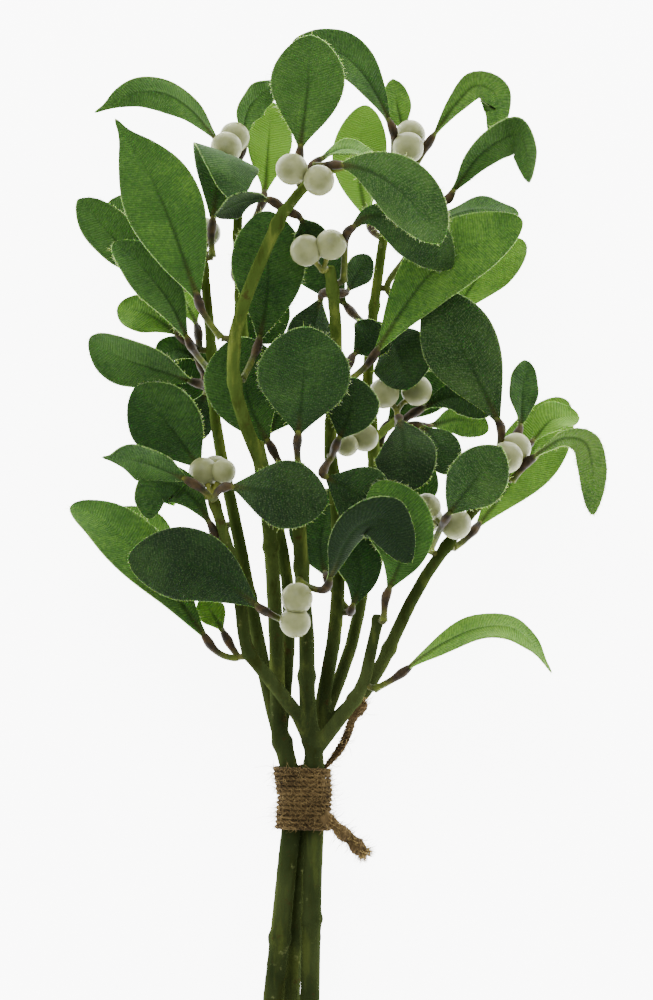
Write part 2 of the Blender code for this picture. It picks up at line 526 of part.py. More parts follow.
def settle_blade(joint, blade, beside, tips):
    """The blade tipped up or down, and rolled a little, until it is clear of everything, or None. One that the
    bunch rests on is tipped until it just meets the floor."""
    lead = Vector(blade.midrib[-1]) - joint
    axis = Vector((0, 0, 1)).cross(lead).normalized()
    lowest, laid = REACH, None
    for roll in ROLLED:
        for tip in LAID if blade.style == "rests" else tips:
            spin = Matrix.Rotation(math.radians(tip), 3, axis)
            moved = blade._replace(midrib=[joint + spin @ (Vector(p) - joint) for p in blade.midrib],
                                   roll=blade.roll + roll)
            rings, first, last = leaf_rings(joint, moved)
            above = height([p for ring in rings for p in ring] + [last])
            if above < 0.02 or blade.style == "rests" and above > lowest:
                continue
            rings, first, last = leaf_rings(joint, moved, 0.6 * GAP)
            if touches(solid("trial", rings, first, last, (0, 0, 0))):
                continue
            if beside is None or not meet(rings, last, *leaf_rings(joint, beside, 0.6 * GAP)[::2]):
                if blade.style != "rests":
                    return moved
                lowest, laid = above, moved
        if laid:
            return laid
    return None


def meet(rings, last, other_rings, other_last):
    """True if two blades of one node meet anywhere but at their joint."""
    trees = []
    for row, end in ((rings, last), (other_rings, other_last)):
        mesh = solid("trial", row[2:], sum(row[2], Vector()) / 6, end, (0, 0, 0))
        trees.append(tree_of(mesh, (0, 0, 0)))
        bpy.data.meshes.remove(mesh)
    return bool(trees[0].overlap(trees[1]))


def crosses_itself(mesh):
    """True if two faces of the mesh that share no corner meet."""
    faces = [tuple(f.vertices) for f in mesh.polygons]
    tree = BVHTree.FromPolygons([v.co / MM for v in mesh.vertices], faces)
    return any(a < b and not set(faces[a]) & set(faces[b]) for a, b in tree.overlap(tree))


def settle_leaf(name, stem, blades):
    """The joint and the mesh of a leaf node, once its blades are clear of everything."""
    middle = sum((Vector(b.midrib[0]) for b in blades), Vector()) / len(blades)
    level = middle - sum(((Vector(b.midrib[1]) - Vector(b.midrib[0])).normalized() for b in blades),
                         Vector()) / len(blades) * LEAD
    for tips, slide, around in itertools.product((TIPPED[:A_LITTLE], TIPPED), SLIDES, AROUND):
        joint = beside_stem(stem, level, middle, slide, around, PETIOLE_R * 1.25)
        moved = []
        for blade in blades:
            moved.append(settle_blade(joint, blade, moved[0] if moved else None, tips))
            if moved[-1] is None:
                break
        else:
            mesh = leaf_mesh(name, joint, moved)
            if not crosses_itself(mesh):
                return joint, mesh
            bpy.data.meshes.remove(mesh)
    raise ValueError(f"no clear place for {name}")


def leaf_mesh(name, joint, blades):
    if len(blades) == 1:
        return solid(name, *leaf_rings(joint, blades[0]), joint)
    # Two blades are one row of rings, from the first one's tip over the joint to the second one's tip.
    (rings, _, tip), (onward, _, end) = [leaf_rings(joint, blade) for blade in blades]
    back = [[ring[k] for k in (3, 2, 1, 0, 5, 4)] for ring in reversed(rings[1:])]
    turn = min(range(6), key=lambda n: sum((back[-1][k] - onward[1][(k + n) % 6]).length for k in range(6)))
    back = [[ring[(k - turn) % 6] for k in range(6)] for ring in back]
    before, after = sum(back[-1], Vector()) / 6, sum(onward[1], Vector()) / 6
    bend = [joint + ((p - before) + (q - after)).normalized() * PETIOLE_R for p, q in zip(back[-1], onward[1])]
    return solid(name, back + [bend] + onward[1:], tip, end, joint)


def is_first(row):
    """The front leaf and the leaves that the bunch rests on find their places before the others."""
    return row[0] == "leaf_middle_front" or any(blade[-1] == "rests" for blade in row[2])


for name, stem, rows in sorted(LEAVES, key=lambda row: not is_first(row)):
    joint, mesh = settle_leaf(name, stem, [Blade(*row) for row in rows])
    placed.append(tree_of(mesh, joint))
    add(name, mesh, joint, "leaf_light" if name in LIGHT_LEAVES else "leaf")

# Set the bunch down: the middle of its box over the origin, and its lowest point on the floor
bpy.context.view_layer.update()
graph = bpy.context.evaluated_depsgraph_get()
corners = []
for obj in bpy.context.scene.objects:
    if obj.type == "MESH" and not obj.hide_render:
        made = obj.evaluated_get(graph).to_mesh()
        corners += [obj.matrix_world @ v.co for v in made.vertices]
low = Vector([min(c[k] for c in corners) for k in range(3)])
high = Vector([max(c[k] for c in corners) for k in range(3)])
bunch.location = (-(low.x + high.x) / 2, -(low.y + high.y) / 2, -low.z)
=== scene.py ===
import math
import random

import bmesh
import bpy
import numpy as np
from mathutils import Matrix, Vector
from mathutils.bvhtree import BVHTree


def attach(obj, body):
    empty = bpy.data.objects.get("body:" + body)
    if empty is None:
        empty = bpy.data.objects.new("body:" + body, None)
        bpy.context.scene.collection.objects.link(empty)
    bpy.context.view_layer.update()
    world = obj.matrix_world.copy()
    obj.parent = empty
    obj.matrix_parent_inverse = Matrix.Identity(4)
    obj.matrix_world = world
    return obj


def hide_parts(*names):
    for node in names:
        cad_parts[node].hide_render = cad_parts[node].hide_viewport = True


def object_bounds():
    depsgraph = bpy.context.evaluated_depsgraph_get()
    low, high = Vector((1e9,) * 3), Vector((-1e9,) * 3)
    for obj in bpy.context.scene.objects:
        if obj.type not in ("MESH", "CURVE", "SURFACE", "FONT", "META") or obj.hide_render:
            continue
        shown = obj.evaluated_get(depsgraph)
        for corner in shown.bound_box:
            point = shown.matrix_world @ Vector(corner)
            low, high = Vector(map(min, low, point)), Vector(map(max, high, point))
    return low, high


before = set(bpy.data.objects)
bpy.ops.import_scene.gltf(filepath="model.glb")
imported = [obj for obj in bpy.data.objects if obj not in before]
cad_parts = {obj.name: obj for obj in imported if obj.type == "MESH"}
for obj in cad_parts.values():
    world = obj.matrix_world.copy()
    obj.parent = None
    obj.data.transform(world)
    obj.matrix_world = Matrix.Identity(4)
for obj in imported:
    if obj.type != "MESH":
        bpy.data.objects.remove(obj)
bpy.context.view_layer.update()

# The place the bunch lies in: a white light table that glows through the leaves, a wide soft lamp above and
# beyond them, and a weak one from the other side. The bunch is seen square to its stems, which rise a little.
MM = 0.001
LIE = math.radians(6.0)  # how far the stems rise off the table
BINDING_AT = (-8.881 * MM, -64.84 * MM, 15.516 * MM)  # the middle of the binding
across, up_stem = Vector((1, 0, 0)), Vector((0, math.cos(LIE), math.sin(LIE)))
toward = across.cross(up_stem)
low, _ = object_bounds()
bunch = Matrix.Translation(BINDING_AT) @ Matrix((across, up_stem, toward)).transposed().to_4x4()

AIM = Vector((5.8 * MM, 81 * MM, 15 * MM))  # the point looked at, from the binding along the stems
DISTANCE = 3.0
HEIGHT_SEEN = 0.270
FILM = 36.0
camera = bpy.data.objects.new("camera", bpy.data.cameras.new("camera"))
bpy.context.scene.collection.objects.link(camera)
camera.data.lens, camera.data.sensor_width = FILM * DISTANCE / HEIGHT_SEEN, FILM
camera.data.clip_end = 20.0
camera.matrix_world = Matrix.Translation(bunch @ AIM + toward * DISTANCE) @ bunch.to_3x3().to_4x4()
bpy.context.scene.camera = camera

UNDER = 0.4 * MM  # the cloth is a little thicker than the solids it covers
bm = bmesh.new()
bmesh.ops.create_grid(bm, x_segments=1, y_segments=1, size=4.0)
table_top = bpy.data.objects.new("table_top", bpy.data.meshes.new("table_top"))
bm.to_mesh(table_top.data)
bm.free()
bpy.context.scene.collection.objects.link(table_top)
table_top.location = (0, 0, low.z - UNDER)

paint = bpy.data.materials.new("pale_table")
paint.use_nodes = True
panel = paint.node_tree.nodes["Principled BSDF"].inputs
panel["Base Color"].default_value = (0.93, 0.93, 0.92, 1)
panel["Roughness"].default_value = 0.9
panel["Emission Color"].default_value = (1, 1, 1, 1)
panel["Emission Strength"].default_value = 8.0
table_top.data.materials.append(paint)


def soft_light(name, place, size, power, colour):
    """A round lamp of that size in metres, turned to the bunch."""
    lamp = bpy.data.objects.new(name, bpy.data.lights.new(name, "AREA"))
    lamp.data.shape, lamp.data.size, lamp.data.energy, lamp.data.color = "DISK", size, power, colour
    lamp.location = place
    lamp.rotation_euler = (-Vector(place)).to_track_quat("-Z", "Y").to_euler()
    bpy.context.scene.collection.objects.link(lamp)


soft_light("window", (-0.35, 1.0, 1.5), 1.1, 30, (1.0, 0.99, 0.97))
soft_light("bounce", (1.3, -0.5, 1.2), 1.4, 6, (0.97, 0.98, 1.0))
sky = bpy.data.worlds.new("room")
sky.use_nodes = True
sky.node_tree.nodes["Background"].inputs["Color"].default_value = (1, 1, 1, 1)
sky.node_tree.nodes["Background"].inputs["Strength"].default_value = 1.2
bpy.context.scene.world = sky


# The three sprigs: stiff stems moulded in olive-green plastic over wire, forked, with a swollen ring at each
# joint and a slightly uneven skin. Each sprig is one moulding, and its cut end shows the same plastic.
class Value:
    """A number or colour inside a finish. Sums on it become the finish's own maths."""

    def __init__(self, finish, socket):
        self.finish, self.socket = finish, socket

    def sum_of(self, operation, first, second):
        return self.finish.node("Math", {"operation": operation}, {0: first, 1: second})

    def __add__(self, other):
        return self.sum_of("ADD", self, other)

    __radd__ = __add__

    def __sub__(self, other):
        return self.sum_of("SUBTRACT", self, other)

    def __rsub__(self, other):
        return self.sum_of("SUBTRACT", other, self)

    def __mul__(self, other):
        return self.sum_of("MULTIPLY", self, other)

    __rmul__ = __mul__

    def __abs__(self):
        return self.finish.node("Math", {"operation": "ABSOLUTE"}, {0: self})


class Finish:
    """One material: a Principled surface whose colour, roughness and relief are built up by node()."""

    def __init__(self, name, **settings):
        self.material = bpy.data.materials.new(name)
        self.material.use_nodes = True
        self.tree = self.material.node_tree
        self.surface = self.tree.nodes["Principled BSDF"]
        for socket, value in settings.items():
            self.surface.inputs[socket.replace("_", " ")].default_value = value

    def node(self, kind, settings=None, inputs=None, output=0):
        made = self.tree.nodes.new("ShaderNode" + kind)
        for key, value in (settings or {}).items():
            if key == "stops":
                while len(made.color_ramp.elements) < len(value):
                    made.color_ramp.elements.new(0.5)
                for element, (place, colour) in zip(made.color_ramp.elements, value):
                    element.position, element.color = place, (*colour, 1)
            else:
                setattr(made, key, value)
        for key, value in (inputs or {}).items():
            if isinstance(value, Value):
                self.tree.links.new(value.socket, made.inputs[key])
            else:
                made.inputs[key].default_value = value
        return Value(self, made.outputs[output])

    def feed(self, socket, value):
        self.tree.links.new(value.socket, self.surface.inputs[socket])

    def place(self):
        return self.node("TexCoord", output="Object")

    def stored(self, name):
        """What a piece's mesh stores under that name, as a vector."""
        return self.node("Attribute", {"attribute_type": "GEOMETRY", "attribute_name": name}, output="Vector")

    def stretched(self, vector, scale):
        return self.node("Mapping", None, {"Vector": vector, "Scale": scale})

    def threads(self, way, pitch):
        """Threads side by side along way, 1 on top of each and 0 between them."""
        return self.node("Math", {"operation": "SINE"}, {0: way * (math.tau / pitch)}) * 0.5 + 0.5

    def split(self, vector):
        return [self.node("SeparateXYZ", inputs={0: vector}, output=k) for k in range(3)]

    def noise(self, vector, size, detail=3.0, roughness=0.55):
        """Clouds whose lumps are about that many metres across, around 0.5."""
        return self.node("TexNoise", None, {"Vector": vector, "Scale": 1.0 / size, "Detail": detail,
                                            "Roughness": roughness})

    def fade(self, value, start, end, to_low=0.0, to_high=1.0):
        """Runs softly from to_low, where value is start, to to_high, where it is end."""
        ends = {"From Min": start, "From Max": end, "To Min": to_low, "To Max": to_high}
        return self.node("MapRange", {"interpolation_type": "SMOOTHSTEP"}, {"Value": value, **ends})

    def mix(self, share, first, second):
        first, second = (c if isinstance(c, Value) else (*c, 1) for c in (first, second))
        return self.node("Mix", {"data_type": "RGBA"}, {0: share, 6: first, 7: second}, 2)

    def relief(self, height, depth):
        """Bumps of that depth in metres where height goes from 0 to 1."""
        self.feed("Normal", self.node("Bump", None, {"Strength": 1.0, "Distance": depth, "Height": height}))


def stem_plastic():
    f = Finish("moulded_olive_plastic", Roughness=0.7, Specular_IOR_Level=0.0)
    at = f.place()
    streak = f.noise(f.stretched(at, (1.0, 0.16, 1.0)), 3.5 * MM, 5.0)
    cloud = f.noise(at, 22 * MM)
    grain = f.noise(at, 0.6 * MM, 2.0)
    # the trunks are dark green and the thin twigs lighter and yellower, with brown where the colour is rubbed
    thin = f.fade(f.split(at)[1], -50 * MM, 60 * MM)
    trunk = f.mix(f.fade(cloud, 0.3, 0.7), (0.012, 0.018, 0.006), (0.028, 0.038, 0.012))
    trunk = f.mix(f.fade(streak, 0.5, 0.72) * 0.6, trunk, (0.050, 0.064, 0.014))
    twig = f.mix(f.fade(cloud, 0.3, 0.7), (0.024, 0.041, 0.007), (0.050, 0.080, 0.015))
    twig = f.mix(f.fade(streak, 0.5, 0.72) * 0.75, twig, (0.100, 0.125, 0.022))
    green = f.mix(thin, trunk, twig)
    green = f.mix(f.fade(streak, 0.48, 0.3) * 0.6, green, (0.014, 0.017, 0.003))
    green = f.mix(f.fade(grain, 0.60, 0.78) * 0.5, green, (0.040, 0.024, 0.008))
    scar = f.noise(at, 4.5 * MM, 5.0, 0.7)
    green = f.mix(f.fade(scar, 0.60, 0.70) * 0.65, green, (0.030, 0.019, 0.007))
    green = f.mix(f.fade(scar, 0.38, 0.30) * 0.55, green, (0.110, 0.125, 0.045))
    f.feed("Base Color", green)
    f.feed("Roughness", f.fade(streak, 0.3, 0.8, 0.52, 0.75))
    f.relief(streak * 0.5 + grain * 0.3 + scar * 0.3, 0.45 * MM)
    return f.material


def welded(node):
    """A copy of a CAD node's mesh with its loose triangles joined up."""
    bm = bmesh.new()
    bm.from_mesh(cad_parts[node].data)
    bmesh.ops.remove_doubles(bm, verts=bm.verts, dist=0.002 * MM)
    return bm


def finished(name, bm, materials):
    """A piece at the origin, from its bmesh."""
    mesh = bpy.data.meshes.new(name)
    bm.to_mesh(mesh)
    bm.free()
    piece = bpy.data.objects.new(name, mesh)
    bpy.context.scene.collection.objects.link(piece)
    for material in materials:
        mesh.materials.append(material)
    return piece


SKIN_GRAIN = 0.45 * MM  # how finely the moulded skin is drawn over the forks
SMOOTHINGS = 7
SIDES = ("front", "left", "back")
plastic = stem_plastic()
for side in SIDES:
    rough = finished(f"rough_{side}", welded(f"sprig_{side}"), [plastic])
    rough.data.shade_smooth()
    skin = rough.modifiers.new("skin", "REMESH")
    skin.mode, skin.voxel_size = "VOXEL", SKIN_GRAIN
    drawn = rough.evaluated_get(bpy.context.evaluated_depsgraph_get())
    bm = bmesh.new()
    bm.from_mesh(bpy.data.meshes.new_from_object(drawn))
    bpy.data.objects.remove(rough)
    for _ in range(SMOOTHINGS):
        axes = {f"use_axis_{axis}": True for axis in "xyz"}
        bmesh.ops.smooth_vert(bm, verts=bm.verts, factor=0.5, **axes)
    piece = finished(f"stems_{side}", bm, [plastic])
    piece.data.shade_smooth()
    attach(piece, "root")
    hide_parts(f"sprig_{side}")


# The leaves: blades die-cut from a fine-ribbed velvety cloth, printed green, creased along the middle and
# wired at the root into a short brown moulded sleeve, which plugs on the stem. The cut edge frays into fibres.
STATIONS = (0.05, 0.17, 0.33, 0.5, 0.67, 0.82, 0.94)  # where a node's rows stand along its blade
ROW = 6  # points in a row


def centre_of(row):
    return sum(row, Vector()) / len(row)


def rows_of(node):
    """The node's rows of six points in order, from a tip to the joint or to the other tip."""
    bm = welded(node)
    chains = []
    for start in bm.verts:
        rows, seen = [[start]], {start}
        while True:
            ring = {edge.other_vert(v) for v in rows[-1] for edge in v.link_edges} - seen
            if len(ring) not in (ROW, 1):
                break
            row, left = [min(ring, key=lambda v: v.index)], set(ring)
            left.discard(row[0])
            while left:  # round the row from one point to the next
                beside = [edge.other_vert(row[-1]) for edge in row[-1].link_edges]
                beside = [v for v in beside if v in left] or list(left)
                row.append(min(beside, key=lambda v: (v.co - row[-1].co).length))
                left.discard(row[-1])
            rows.append(row)
            seen |= ring
        if len(seen) == len(bm.verts) and len(rows) > len(STATIONS):
            chains.append([[v.co.copy() for v in row] for row in rows])
    bm.free()
    rows = max(chains, key=lambda chain: (chain[0][0] - centre_of(chain[1])).length)
    tip, end = rows[0][0], rows[-1][0] if len(rows[-1]) == 1 else None
    rings = []
    for row in rows[1:]:
        if len(row) != ROW:
            continue
        spans = sorted((row[k] - row[k + 3]).length for k in range(3))
        ways = [[row[(turn + way * k) % ROW] for k in range(ROW)] for turn in range(ROW) for way in (1, -1)]
        if spans[2] > 1.35 * spans[1]:  # a flat row: its first point is an edge of the blade
            ways = [w for w in ways if (w[0] - w[3]).length > 0.99 * spans[2]]
        if rings:  # the way that is least turned from the row before
            before, here, there = rings[-1], centre_of(row), centre_of(rings[-1])
            ways.sort(key=lambda w: -sum((p - here).normalized().dot((q - there).normalized())
                                         for p, q in zip(w, before)))
        rings.append(ways[0])
    return tip, rings, end


def spline(places, values, at):
    """A smooth value through values at those places."""
    k = max(0, min(len(places) - 2, sum(1 for p in places if p <= at) - 1))
    span = places[k + 1] - places[k]
    t = (at - places[k]) / span

    def slope(j):
        a, b = max(0, j - 1), min(len(places) - 1, j + 1)
        return (values[b] - values[a]) / (places[b] - places[a]) * span

    return (values[k] * (2 * t ** 3 - 3 * t * t + 1) + slope(k) * (t ** 3 - 2 * t * t + t)
            + values[k + 1] * (3 * t * t - 2 * t ** 3) + slope(k + 1) * (t ** 3 - t * t))


def blade_outline(t):
    """The cut shape of every blade: narrow at the root, broadest past the middle, round at the tip."""
    return math.sin(math.pi * min(1.0, max(0.0, t)) ** 1.45) ** (1.0 - 0.42 * t)


def cut_grid(bm, count_long, count_wide, place):
    """A flat grid, each point then laid where place(u, w) says, u and w being 0 to 1. Gives (point, u, w)."""
    made = bmesh.ops.create_grid(bm, x_segments=count_long, y_segments=count_wide, size=0.5)["verts"]
    laid = [(v, v.co.x + 0.5, v.co.y + 0.5) for v in made]
    for v, u, w in laid:
        v.co = place(u, w)
    return laid


def pour(small, bm):
    """Adds a small bmesh to a larger one, and empties it."""
    mesh = bpy.data.meshes.new("poured")
    small.to_mesh(mesh)
    bmesh.ops.delete(small, geom=small.verts, context="VERTS")
    bm.from_mesh(mesh)
    bpy.data.meshes.remove(mesh)


def layered():
    """An empty bmesh whose points carry two vectors, cloth and look."""
    bm = bmesh.new()
    return bm, *(bm.verts.layers.float_vector.new(name) for name in ("cloth", "look"))


CLOTH_THICK = 0.42 * MM
GROOVE, GROOVE_HALF = 0.28 * MM, 0.75 * MM  # the crease's depth and half width
NECK_HALF = 0.75 * MM  # half the width of the blade's narrow root
TOWARD_TIP, TOWARD_EDGE = 1.6, 1.15  # how much closer the grid stands there
BEYOND_EDGE = 1.25  # what the fibres carry where the cloth has 0 at the middle and 1 at the edge
FRAY, VELVET_FRAY = 320 / (45 * MM), 240 / (45 * MM)  # fibres to a metre of blade, and more on velvety ones


def add_blade(bm, tip, rings, tone_and_light, velvet, dice):
    """One blade on the rows of its node, root first: cloth with a creased middle and a frayed edge."""
    centres, sides, halves, cups, ups = [], [], [], [], []
    for t, row in zip(STATIONS, rings):
        left, right = row[0], row[3]
        centre = (row[1] + row[2] + row[4] + row[5]) / 4
        side = (right - left) / 2
        up = ((row[1] + row[2]) - (row[4] + row[5])).normalized()
        centres.append(centre)
        sides.append(side.normalized())
        halves.append(side.length / max(0.08, blade_outline(t)))
        cups.append(((left + right) / 2 - centre).dot(up) / side.length / 0.82)
        ups.append(up)
    halves[0] = halves[1]
    root = centres[0] + (centres[0] - centres[1]) * STATIONS[0] / (STATIONS[1] - STATIONS[0])
    places = [0.0, *STATIONS, 1.0]
    centres = [root, *centres, tip]
    sides, halves, cups, ups = ([vals[0], *vals, vals[-1]] for vals in (sides, halves, cups, ups))
    length = sum((b - a).length for a, b in zip(centres, centres[1:]))
    phase, waves = dice.uniform(0, 6.28), dice.uniform(1.4, 2.6)
    edge_wave = dice.uniform(0.15, 0.5) * MM

    def lay(t, off):
        """The point at t from root to tip and off from edge, -1, to edge, 1; with half the width, and up."""
        half = spline(places, halves, t) * blade_outline(t)
        if t < 0.5:
            half = max(NECK_HALF, half)
        side = spline(places, sides, t).normalized()
        up = spline(places, ups, t)
        up = (up - side * up.dot(side)).normalized()
        turn = waves * math.tau * t + phase + (1.3 if off > 0 else 0)
        wave = edge_wave * off * off * math.sin(turn) * min(1, half / (4 * MM))
        crease = GROOVE * math.exp(-(off * half / GROOVE_HALF) ** 2) * (1 - max(0.0, t - 0.55) / 0.45)
        cup = spline(places, cups, t) * half * (off * off - 0.3 * (1 - min(1, t * 3)))
        return spline(places, centres, t) + side * half * off + up * (cup + wave - crease), half, up

    def drawn_to_edges(u, w):
        off = 2 * w - 1
        return 1 - (1 - u) ** TOWARD_TIP, math.copysign(abs(off) ** TOWARD_EDGE, off)

    sheet, s_cloth, s_look = layered()
    for v, u, w in cut_grid(sheet, 40, 22, lambda u, w: lay(*drawn_to_edges(u, w))[0]):
        t, off = drawn_to_edges(u, w)
        v[s_cloth] = Vector((t * length, off * lay(t, off)[1], abs(off)))
        v[s_look] = Vector((t, tone_and_light, velvet))
    bmesh.ops.remove_doubles(sheet, verts=sheet.verts, dist=0.02 * MM)
    bmesh.ops.recalc_face_normals(sheet, faces=sheet.faces)
    for v in sheet.verts:
        v.normal_update()
    for v in sheet.verts:
        v.co -= v.normal * CLOTH_THICK / 2
    bmesh.ops.solidify(sheet, geom=list(sheet.faces), thickness=-CLOTH_THICK)
    bmesh.ops.recalc_face_normals(sheet, faces=sheet.faces)

    # frayed fibres stand out of the cut edge
    fibres, f_cloth, f_look = layered()
    for _ in range(int((FRAY + VELVET_FRAY * velvet) * length)):
        t = 1 - dice.random() ** 1.3 * 0.93
        sign = dice.choice((-1, 1))
        foot, half, up = lay(t, sign)
        ahead = (lay(min(1, t + 0.01), sign)[0] - lay(t - 0.01, sign)[0]).normalized()
        out = ahead.cross(up) * sign
        if t > 0.97:
            out = (out + (lay(1, 0)[0] - lay(0.95, 0)[0]).normalized() * 2).normalized()
        reach = min(dice.expovariate(1 / (0.30 * MM)), 1.5 * MM) + 0.18 * MM
        lean = (out + ahead * dice.gauss(0.1, 0.55) + up * dice.gauss(0, 0.35)).normalized()
        turn = lean.to_track_quat("Z", "Y").to_matrix().to_4x4()
        thin = dice.uniform(0.03, 0.06) * MM
        at = Matrix.Translation(foot + lean * (reach / 2 - 0.1 * MM)) @ turn
        fibre = bmesh.ops.create_cone(fibres, cap_ends=True, segments=3, radius1=thin, radius2=thin * 0.4,
                                      depth=reach, matrix=at)
        for v in fibre["verts"]:
            v[f_cloth] = Vector((t * length, sign * half, BEYOND_EDGE))
            v[f_look] = Vector((t, tone_and_light, velvet))
    for face in sheet.faces:
        face.smooth = True
    pour(sheet, bm)
    pour(fibres, bm)
    return root


def leaf_cloth():
    f = Finish("ribbed_velvet_cloth", Roughness=0.85, Specular_IOR_Level=0.07, Sheen_Weight=0.03,
               Sheen_Roughness=0.4, Sheen_Tint=(0.8, 0.9, 0.5, 1), Subsurface_Weight=0.35,
               Subsurface_Radius=(0.5, 1.0, 0.12), Subsurface_Scale=0.7 * MM)
    at = f.place()
    along, off, edge = f.split(f.stored("cloth"))
    t, tone_and_light, velvet = f.split(f.stored("look"))
    cloud = f.noise(at, 12 * MM, 4.0)
    fine = f.noise(at, 1 * MM, 5.0, 0.75)
    speck = f.noise(f.stretched(f.stored("cloth"), (0.55, 1.0, 0)), 0.34 * MM, 3.0, 0.65)
    # dark blue-green through mid green to a bright yellow-green, with the tone drifting over the blade. The
    # bright end partly stands for painted light through leaves lit from behind, the dark end for painted
    # shade.
    drift = tone_and_light + (cloud - 0.5) * 0.50 + (fine - 0.5) * 0.75
    greens_print_and_light = [(0.0, (0.006, 0.016, 0.005)), (0.3, (0.015, 0.045, 0.009)),
                     (0.6, (0.041, 0.106, 0.016)), (1.0, (0.138, 0.285, 0.030))]
    green = f.node("ValToRGB", {"stops": greens_print_and_light}, {0: drift})
    # ribs run across the blade and lean a little toward the tip at its edges, with finer threads between
    wobble = f.noise(at, 4 * MM, 2.0) * (0.9 * MM)
    rib = f.threads(along - abs(off) * 0.35 + wobble, 0.70 * MM)
    weft = f.threads(off + wobble, 0.36 * MM)
    thread = rib * 0.72 + rib * weft * 0.28
    # painted shade: the hollows between the ribs and threads are darkened
    green = f.mix((1 - thread) * 0.30, green, (0.003, 0.012, 0.003))
    # painted sheen: the nap is lightened in pale specks as if catching the light, most on the velvety leaves
    # and on the tops of the threads
    nap_sheen = f.fade(speck, 0.46, 0.72) * (velvet * 0.50 + 0.10) * (thread * 0.5 + 0.5)
    green = f.mix(nap_sheen, green, (0.145, 0.195, 0.090))
    green = f.mix(velvet * f.fade(cloud, 0.4, 0.7) * 0.16, green, (0.09, 0.14, 0.045))
    # the creased midrib is darkened with painted shade, and is brown near the root in its own colour
    midrib_shade_and_brown = f.fade(abs(off) + t * (1.1 * MM), 1.4 * MM, 0.3 * MM) * f.fade(t, 0.95, 0.5)
    dark = f.mix(f.fade(t, 0.0, 0.3), (0.040, 0.030, 0.008), (0.007, 0.021, 0.004))
    green = f.mix(midrib_shade_and_brown * 0.72, green, dark)
    # cut edge and its fibres
    rim = f.fade(edge + (fine - 0.5) * 0.05, 0.955, 1.0)
    green = f.mix(rim * f.fade(speck, 0.38, 0.62) * 0.55, green, (0.20, 0.30, 0.10))
    green = f.mix(f.fade(edge, 1.05, 1.2), green, (0.20, 0.27, 0.13))
    f.feed("Base Color", green)
    f.relief(thread * 0.62 + fine * 0.28 + speck * 0.25, 0.16 * MM)
    return f.material


def sleeve_plastic():
    f = Finish("brown_sleeve_plastic", Roughness=0.65, Specular_IOR_Level=0.12)
    _, _, share = f.split(f.stored("cloth"))
    streak = f.noise(f.place(), 2.2 * MM, 4.0)
    green = f.mix(f.fade(streak, 0.35, 0.7), (0.035, 0.050, 0.006), (0.085, 0.105, 0.013))
    brown = f.mix(f.fade(streak, 0.35, 0.7), (0.012, 0.009, 0.004), (0.042, 0.027, 0.010))
    f.feed("Base Color", f.mix(share, green, brown))
    f.feed("Roughness", f.fade(streak, 0.3, 0.7, 0.5, 0.75))
    f.relief(streak, 0.3 * MM)
    return f.material


def lengths_along(points):
    """How far along the line through the points each of them is."""
    return [sum((b - a).length for a, b in zip(points[:k], points[1:k + 1])) for k in range(len(points))]


def close_tube(tube, gap):
    """Joins the seam of a rolled grid, closes its two ends and turns its faces outwards."""
    bmesh.ops.remove_doubles(tube, verts=tube.verts, dist=gap)
    bmesh.ops.holes_fill(tube, edges=tube.edges, sides=0)
    bmesh.ops.recalc_face_normals(tube, faces=tube.faces)


def add_stalk(bm, points, radius, brown):
    """A round moulded stalk through the points. radius(s, total) and brown(s, total) follow it along."""
    places = lengths_along(points)
    total = places[-1]
    frames, side, near = [], None, 0.2 * MM
    count = max(8, int(total / (0.7 * MM)))
    for k in range(count + 1):
        s = total * k / count
        after, before = (spline(places, points, min(total, max(0, s + step))) for step in (near, -near))
        ahead = (after - before).normalized()
        side = ahead.orthogonal() if side is None else side - ahead * side.dot(ahead)
        side.normalize()
        frames.append((spline(places, points, s), side.copy(), ahead.cross(side)))

    def place(u, w):
        p, a, b = frames[round(u * count)]
        r = radius(u * total, total) * (1 + 0.05 * math.sin(3 * math.tau * w + 9 * u))
        return p + (a * math.cos(math.tau * w) + b * math.sin(math.tau * w)) * r

    tube, t_cloth, _ = layered()
    for v, u, w in cut_grid(tube, count, 12, place):
        v[t_cloth] = Vector((u * total, w, brown(u * total, total)))
    close_tube(tube, 0.005 * MM)
    for face in tube.faces:
        face.material_index, face.smooth = 1, True
    pour(tube, bm)
